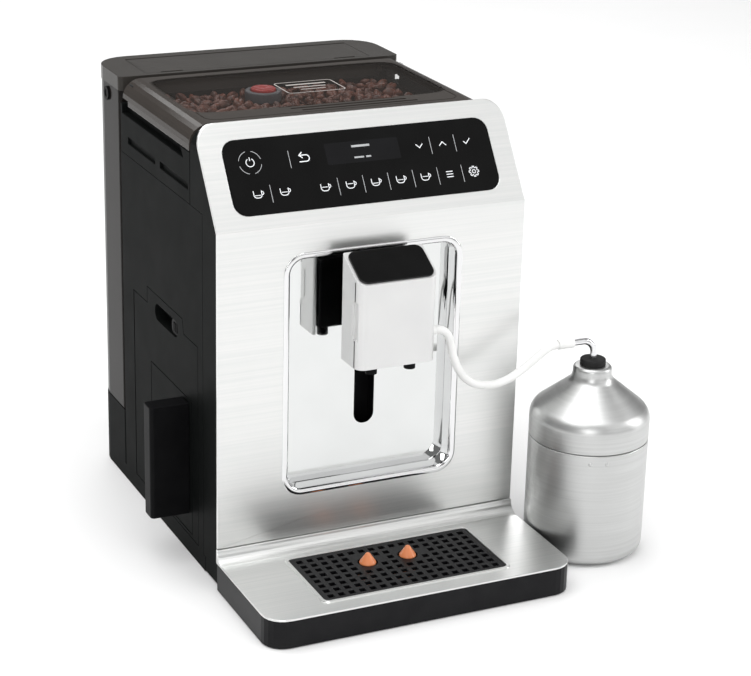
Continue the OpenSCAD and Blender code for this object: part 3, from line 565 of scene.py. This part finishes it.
def jug():
    """The jug's shell and the lid over it: shoulder, soft stopper and bent steel tube."""
    lip = 1.5
    body = ([(0, 0.0), (JUG_R - 9.5, 0.0)] + arc(JUG_R - 9, 9, 9, 272, 360, 12)
            + [(JUG_R, JUG_SEAM - 0.9)] + arc(JUG_R - 0.75, JUG_SEAM - 0.75, 0.75, 0, 180, 6)
            + [(JUG_R - lip, JUG_SEAM - 3)] + arc(JUG_R - 9, 9, 9 - lip, 0, -90, 10) + [(0, lip)])
    shell = lathe("jug_shell", body, JUG_AT, JUG_STEEL, "machine")
    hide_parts("jug_body")
    shoulder = ([(JUG_R - 2.6, JUG_SEAM - 6.8), (JUG_R - 1.9, JUG_SEAM - 6.8), (JUG_R - 1.9, JUG_SEAM + 0.6)]
                + arc(JUG_R - 0.7, JUG_SEAM + 1.3, 0.7, 270, 360, 5) + arc(32, 106, 13, 0, 52, 14)
                + arc(24, 141.5, 9.5, 232, 185, 12) + arc(11.5, 143.5, 3, 0, 90, 8) + [(8, 146.5), (8, 145)]
                + arc(11.5, 143.5, 1.5, 90, 0, 6) + arc(24, 141.5, 11, 185, 232, 10)
                + arc(32, 106, 11.5, 52, 0, 12) + [(JUG_R - 2.6, JUG_SEAM + 2)])
    top = lathe("jug_shoulder", shoulder, JUG_AT, JUG_STEEL, "jug_top")
    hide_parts("jug_lid")
    plug = ([(2.7, 138), (7.3, 138)] + arc(7.3, 138.6, 0.6, 270, 360, 3)
            + [(7.9, 146.55), (9.0, 146.55)] + arc(9.0, 147.15, 0.6, 270, 360, 4)
            + [(9.6, 150.3)] + arc(8.4, 150.3, 1.2, 0, 90, 6) + [(2.7, 151.5)])
    stopper = lathe("jug_stopper_soft", plug, JUG_AT, RUBBER, "jug_top", turns=64)
    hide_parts("jug_stopper")
    bend = [(JUG_AT[0] + x - 10, JUG_AT[1], z) for x, z in arc(0, TUBE_Z - 10, 10, 0, 90, 14)]
    route = [(JUG_AT[0], JUG_AT[1], z) for z in (14, 50, 90, 130, 150)] + bend
    route += [(JUG_AT[0] - x, JUG_AT[1], TUBE_Z) for x in (13, 16.5, 20.5)]
    pipe = tube("jug_pipe", route, 2.5, 32, TUBE_STEEL, "jug_top", bore=HOSE_BORE)
    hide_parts("jug_tube")
    beads()


def beads():
    """Two small pressed beads under the seam, on the side towards the front."""
    points, faces = [], []
    for degrees in (-118, -102):
        a = math.radians(degrees)
        centre = np.array((JUG_AT[0] + JUG_R * math.cos(a), JUG_AT[1] + JUG_R * math.sin(a), JUG_SEAM - 6.5))
        out = np.array((math.cos(a), math.sin(a), 0.0))
        side, up = np.array((-math.sin(a), math.cos(a), 0.0)), np.array((0.0, 0.0, 1.0))
        base, rings = len(points), 5
        for i in range(rings):
            tilt = math.pi / 2 * i / rings
            for k in range(16):
                t = math.tau * k / 16
                points.append(tuple(centre + 1.5 * math.cos(tilt) * (math.cos(t) * side + math.sin(t) * up)
                                    + out * (0.7 * math.sin(tilt) - 0.15)))
        points.append(tuple(centre + out * 0.55))
        for i in range(rings - 1):
            for k in range(16):
                a0, a1 = base + i * 16 + k, base + i * 16 + (k + 1) % 16
                faces.append([a0, a1, a1 + 16, a0 + 16])
        last = base + (rings - 1) * 16
        faces += [[last + k, last + (k + 1) % 16, base + rings * 16] for k in range(16)]
        faces.append([base + k for k in range(15, -1, -1)])
    piece("jug_beads", points, faces, JUG_STEEL, "machine")


jug()


# ---- control glass ----

def on_slope(x, s, lift):
    """A point on the sloped face: x across, s up the slope from the bend, lift outwards."""
    run, rise = SLOPE_RISE
    long = math.hypot(run, rise)
    back, up = run / long, rise / long
    return (x, SLOPE_FOOT[0] + s * back - lift * up, SLOPE_FOOT[1] + s * up + lift * back)


def on_glass(x, s, lift):
    """A point on the control glass, which stands proud of the sheet."""
    return on_slope(x, s, GLASS_PROUD + lift)


def shift(strokes, x, y):
    """Strokes moved by x and y."""
    return [([(x + p, y + q) for p, q in line], width, closed) for line, width, closed in strokes]


def cup(fill):
    """A small generic cup: bowl, handle and a level inside."""
    bowl = [(-3.2, 2.6), (-3.2, -0.4)] + arc(-1.0, -0.4, 2.2, 180, 270, 4) + arc(0.6, -0.4, 2.2, 270, 360, 4)
    bowl += [(2.8, 2.6)]
    handle = [(2.9, 1.8)] + arc(3.1, 0.7, 1.2, 80, -80, 6) + [(2.8, -0.6)]
    level = [(-2.4, fill), (2.0, fill)]
    return [(bowl, 0.55, False), (handle, 0.5, False), (level, 0.45, False)]


def gear():
    """A generic gear wheel for the settings key."""
    teeth = []
    for i in range(8):
        a = 45 * i
        teeth += arc(0, 0, 3.9, a - 9, a + 9, 1) + arc(0, 0, 2.9, a + 14, a + 31, 1)
    return [(teeth, 0.5, True), (arc(0, 0, 1.3, 0, 345, 12), 0.5, True)]


def control_marks():
    """The icons, the faint lines between them and the dark display with two rows of blank bars."""
    top, low, step = 48.6, 25.2, 19.5  # the two rows' heights, and the pitch of the lower row
    power_x, back_x, down_x, up_x, tick_x, first_x = -84.3, -43.7, 45.9, 64.4, 83.9, -33.0
    power = [(arc(0, 0, 3.0, 120, 420, 20), 0.55, False), ([(0, 1.3), (0, 3.9)], 0.55, False)]
    hook = [(-4.0, -2.6), (1.4, -2.6)] + arc(1.4, -0.2, 2.4, 270, 450, 8) + [(-3.4, 2.2)]
    back = [(hook, 0.7, False), ([(-1.2, 4.4), (-3.6, 2.2), (-1.2, 0.1)], 0.7, False)]
    strokes = shift(power, power_x, top) + shift(back, back_x, top - 0.4)
    strokes += shift([([(-2.7, 1.4), (0, -1.4), (2.7, 1.4)], 0.6, False)], down_x, top)
    strokes += shift([([(-2.7, -1.4), (0, 1.4), (2.7, -1.4)], 0.6, False)], up_x, top)
    strokes += shift([([(-2.6, 0.2), (-0.7, -1.7), (2.8, 2.1)], 0.6, False)], tick_x, top)
    for i, x in enumerate([-83.6, -63.6] + [first_x + step * i for i in range(5)]):
        strokes += shift(cup(-0.8 + 0.5 * (i % 4)), x, low)
    menu = [([(-2.6, y), (2.6, y)], 0.6, False) for y in (-2.0, 0.0, 2.0)]
    strokes += shift(menu, first_x + step * 5, low)
    strokes += shift(gear(), first_x + step * 6, low + 0.2)
    drawn("panel_marks", strokes, on_glass, MARKS, "machine")
    lines = [(arc(power_x, top, 8.4, a, a + 62, 12), 0.4, False) for a in (14, 104, 194, 284)]
    dividers = [(x, top) for x in (-54.9, 54.8, 74.3)]
    dividers += [(x, low) for x in [-73.8] + [-22.8 + step * i for i in range(6)]]
    lines += [([(x, row - 7), (x, row + 6)], 0.4, False) for x, row in dividers]
    lines += [([(-6.5, 53.2), (7.5, 53.2)], 1.6, False), ([(-6.0, 44.8), (1.5, 44.8)], 1.2, False),
              ([(3.2, 44.8), (7.0, 44.8)], 1.2, False)]
    drawn("panel_lines", lines, lambda x, s, h: on_glass(x, s, h + 0.03), FAINT_MARKS, "machine")
    screen = slab("panel_screen", rounded(-27, 30, 41, 57, 1.2), 0.0, 0.03, on_glass, SCREEN, "machine")


control_marks()


# ---- bean hopper ----

BEAN_HALF = (5.3, 3.9, 3.2)  # half a bean's length, width and height


def bean(rows, cols):
    """A coffee bean: an oval with a groove down its flatter side."""
    points = [(0, 0, -1.0)]
    for i in range(1, rows):
        v = -math.pi / 2 + math.pi * i / rows
        for k in range(cols):
            u = math.tau * k / cols
            points.append((math.cos(v) * math.cos(u), math.cos(v) * math.sin(u), math.sin(v)))
    points.append((0, 0, 1.0))
    p = np.array(points)
    groove = np.exp(-(p[:, 1] / 0.16) ** 2) * (p[:, 2] > 0) * 0.38
    p[:, 2] = np.where(p[:, 2] > 0, p[:, 2] * 0.72, p[:, 2]) - groove
    p *= BEAN_HALF
    faces = [[0, 1 + (k + 1) % cols, 1 + k] for k in range(cols)]
    for i in range(rows - 2):
        for k in range(cols):
            a, b = 1 + i * cols + k, 1 + i * cols + (k + 1) % cols
            faces.append([a, b, b + cols, a + cols])
    last = 1 + (rows - 2) * cols
    faces += [[last + k, last + (k + 1) % cols, len(points) - 1] for k in range(cols)]
    return p, faces


def heap():
    """Beans in layers up to just under the lid, turned every way, clear of the grinder knob."""
    rng = np.random.default_rng(SEED)
    fine, plain = bean(8, 14), bean(5, 8)
    layers, columns, rows = 6, 22, 14
    left, front, floor_z = -90, -4, 289
    pitch = (8.4, 7.8, 5.6)
    points, faces = [], []
    for layer in range(layers):
        seen = layer > 3
        shape, quads = fine if seen else plain
        keep_out = 20 if seen else 12  # clear of the knob above, and of its stem below
        for i in range(columns):
            for j in range(rows):
                x = left + pitch[0] * (i + 0.5 * (j % 2)) + rng.uniform(-1.7, 1.7)
                y = front + pitch[1] * j + rng.uniform(-1.5, 1.5)
                z = floor_z + pitch[2] * layer + rng.uniform(-1.6, 1.6)
                off_axis = math.hypot(x - GRIND_AT[0], y - GRIND_AT[1])
                if abs(x) > 92 or not -5 < y < 99 or off_axis < keep_out:
                    continue
                lean, roll, turn = rng.normal(0, 0.45), rng.normal(0, 0.9), rng.uniform(0, math.tau)
                spin = (Matrix.Rotation(turn, 3, "Z") @ Matrix.Rotation(lean, 3, "Y")
                        @ Matrix.Rotation(roll, 3, "X"))
                grown = shape * rng.uniform(0.86, 1.08) @ np.array(spin).T + (x, y, z)
                base = len(points)
                points += grown.tolist()
                faces += [[q + base for q in quad] for quad in quads]
    piece("coffee_beans", points, faces, BEANS, "machine", smooth=50)


def knob():
    """The grind knob: a grey collar round a red cap with a dished top and a long stem."""
    collar = ([(10.2, 316), (13.4, 316)] + arc(13.4, 316.6, 0.6, 270, 360, 3) + [(14, 322.8)]
              + arc(12.8, 322.8, 1.2, 0, 90, 5) + [(10.9, 324)] + arc(10.9, 323.3, 0.7, 90, 180, 3))
    ring = lathe("knob_collar", collar, GRIND_AT, GREY, "grind_adjuster", turns=72)
    cap = ([(0, 266.0), (4.6, 266.0), (5, 266.4), (5, 316.0), (9.6, 316.0), (9.6, 324.6)]
           + arc(8.4, 324.6, 1.2, 0, 90, 5) + [(5.2, 325.6), (4.2, 324.9), (0, 324.8)])
    red = lathe("knob_cap", cap, GRIND_AT, RED, "grind_adjuster", turns=72)
    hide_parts("grind_knob")


def cad_top(name):
    """The height of a CAD node's top, in millimetres."""
    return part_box(name)[1].z / MM


def vent_slot_shade():
    """Three dark strips in the slots at the lid's front: painted shade, a dark sheet that makes the slots'
    insides read black.
    """
    top, pitch, width, sunk = cad_top("hopper_lid"), 6.5, 2.3, 0.8
    strips = []
    for i in range(3):
        y = -1 - pitch * i
        strips.append(([(pitch * i - 37.8, y), (pitch * i + 53.8, y)], width, False))
    # Painted shade: dark rubber strips standing in for the shade inside the vent slots.
    drawn("vent_slot_shade", strips, lambda x, y, lift: (x, y, top - sunk + lift), RUBBER, "bean_lid")


def lid_label():
    """A plain printed frame on the lid with three blank bars in it."""
    top = cad_top("hopper_lid")

    def place(x, y, lift):
        return (x + 8, y + 50, top - 0.02 + lift)
    strokes = [(rounded(-23, 23, -16, 16, 3, 4), 0.9, True)]
    for inset, y, width in ((0, 8, 2.6), (3, 0, 1.8), (6, -7, 1.2)):
        strokes.append(([(inset - 16, y), (16 - inset, y)], width, False))
    drawn("lid_label", strokes, place, PRINT, "bean_lid")


def lid_seals():
    """Soft lips inside the lid's sides, which close the light gap over the finger grooves: a long one on
    the housing and a short one in the lid's back corner."""
    inner = 109.6
    for side, name in ((-1, "left"), (1, "right")):
        def place(y, z, lift, side=side):
            return (side * (inner + lift), y, z)
        slab(f"lid_seal_{name}", rounded(-12, 106, 311.9, 319.0, 1.2), 0.0, 1.8, place, RUBBER, "machine")
        corner = rounded(105.2, 113.3, 317.3, 328.0, 1.0)
        slab(f"lid_corner_{name}", corner, 1.9, 3.2, place, RUBBER, "bean_lid")


heap()
knob()
vent_slot_shade()
lid_label()
lid_seals()


# ---- recess ring ----

RECESS_HW, RECESS_R, RECESS_Z = 69.7, 16.0, (64.7, 249.7)
FRONT_Y, PLATE_Y = -89.0, -76.0


def recess_ring():
    """The plated ring: a rounded lip proud of the steel, then a wall that runs back to the mirror plate."""
    lip = [(0.0, FRONT_Y + 0.02), (0.0, FRONT_Y - 0.35)]
    lip += [(2.6 - 2.6 * math.cos(a), FRONT_Y - 0.35 - 0.65 * math.sin(a))
            for a in np.linspace(math.pi / 10, math.pi / 2, 6)]
    lip += [(2.6 + 2.4 * math.sin(a), FRONT_Y + 1.6 - 2.6 * math.cos(a))
            for a in np.linspace(math.pi / 10, math.pi / 2, 7)]
    wall = [(5.0, PLATE_Y - 1.6), (4.4, PLATE_Y - 0.1), (1.95, PLATE_Y), (1.95, FRONT_Y + 0.02)]
    profile = lip + wall
    points = []
    for inset, y in profile:
        outline = rounded(-RECESS_HW + inset, RECESS_HW - inset, RECESS_Z[0] + inset, RECESS_Z[1] - inset,
                          RECESS_R - inset, 12)
        points += [(x, y, z) for x, z in outline]
    rings, sides = len(profile), len(points) // len(profile)
    faces = [[i * sides + k, i * sides + (k + 1) % sides, (i + 1) % rings * sides + (k + 1) % sides,
              (i + 1) % rings * sides + k] for i in range(rings) for k in range(sides)]
    ring = piece("recess_ring", points, faces, CHROME, "machine")
    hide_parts("recess_bezel")


recess_ring()


# ---- spout trim ----

def spout_trim():
    """A seam down each side of the spout cover; on the left it goes on above the clip."""
    half_width, seam_y = 30.7, -123.6
    for side, name in ((-1, "left"), (1, "right")):
        def place(y, z, lift, side=side):
            return (side * (half_width + lift), y, z)
        seams = [([(seam_y, 172.6), (seam_y, 192.6)], 0.8, False)]
        if side < 0:
            seams += [([(seam_y, 221.4), (seam_y, 235.6)], 0.8, False)]
            outline = rounded(-120.6, -116.6, 196, 218, 1.9)
            clip = slab("spout_clip", outline, -0.3, 0.45, place, SILVER, "spout_front")
        drawn(f"spout_seam_{name}", seams, place, DARK, "spout_front")


spout_trim()


# ---- edges ----

EDGE_RADII = {
    0.35: "front_panel tray_cover control_glass spout_cap",
    0.6: "hopper_lid tank_lid tank_rim water_tank",
    0.45: "drip_tray base_pan front_frame left_panel service_door top_housing right_panel grounds_container"
          " grounds_handle spout_cover spout_nozzles float_left float_right hose_barb hose_connector"
          " spout_carriage",
}
for radius, names in EDGE_RADII.items():
    for name in names.split():
        soften(name, radius)
soften("drip_grid", 0.3, segments=1)


# ---- studio ----

def studio():
    """A pale floor, a soft world and six soft lights."""
    scene = bpy.context.scene
    scene.view_settings.view_transform = "Standard"
    world = bpy.data.worlds.new("studio")
    world.use_nodes = True
    world.node_tree.nodes["Background"].inputs["Color"].default_value = (1.0, 1.0, 1.0, 1.0)
    world.node_tree.nodes["Background"].inputs["Strength"].default_value = 0.24
    scene.world = world

    paint = Paint("pale_floor", (0.93, 0.93, 0.93), 0.6, Specular_IOR_Level=0.2)
    paint.tint(paint.noise(3.0), (0.92, 0.92, 0.92), (0.94, 0.94, 0.94))
    half, level = 9000, -0.3
    corners = [(x * half, y * half, level) for x, y in ((-1, -1), (1, -1), (1, 1), (-1, 1))]
    floor = piece("floor", corners, [[0, 1, 2, 3]], paint.material, None, smooth=0)

    def softbox(name, place, target, width, height, power):
        light = bpy.data.lights.new(name, "AREA")
        light.shape, light.size, light.size_y, light.energy = "RECTANGLE", width, height, power
        lamp = bpy.data.objects.new(name, light)
        lamp.location = place
        lamp.rotation_mode = "QUATERNION"
        lamp.rotation_quaternion = (Vector(target) - Vector(place)).to_track_quat("-Z", "Y")
        scene.collection.objects.link(lamp)

    softbox("overhead", (-0.85, 0.0, 3.0), (-0.85, 0.0, 0), 3.2, 3.4, 100)
    softbox("slope_fill", (1.3, -2.1, 2.5), (0, -0.07, 0.3), 2.4, 2.2, 12)
    softbox("front_fill", (1.3, -2.9, 0.95), (0, -0.09, 0.1), 2.2, 1.3, 8)
    softbox("front_left", (-1.6, -3.2, 1.2), (0, 0, 0.1), 0.9, 1.8, 28)
    softbox("right", (2.6, -0.9, 1.1), (0.1, 0, 0.1), 0.8, 1.8, 26)
    softbox("backdrop", (0.0, 5.5, 3.5), (0, 5.5, 0), 9.0, 4.0, 260)


studio()
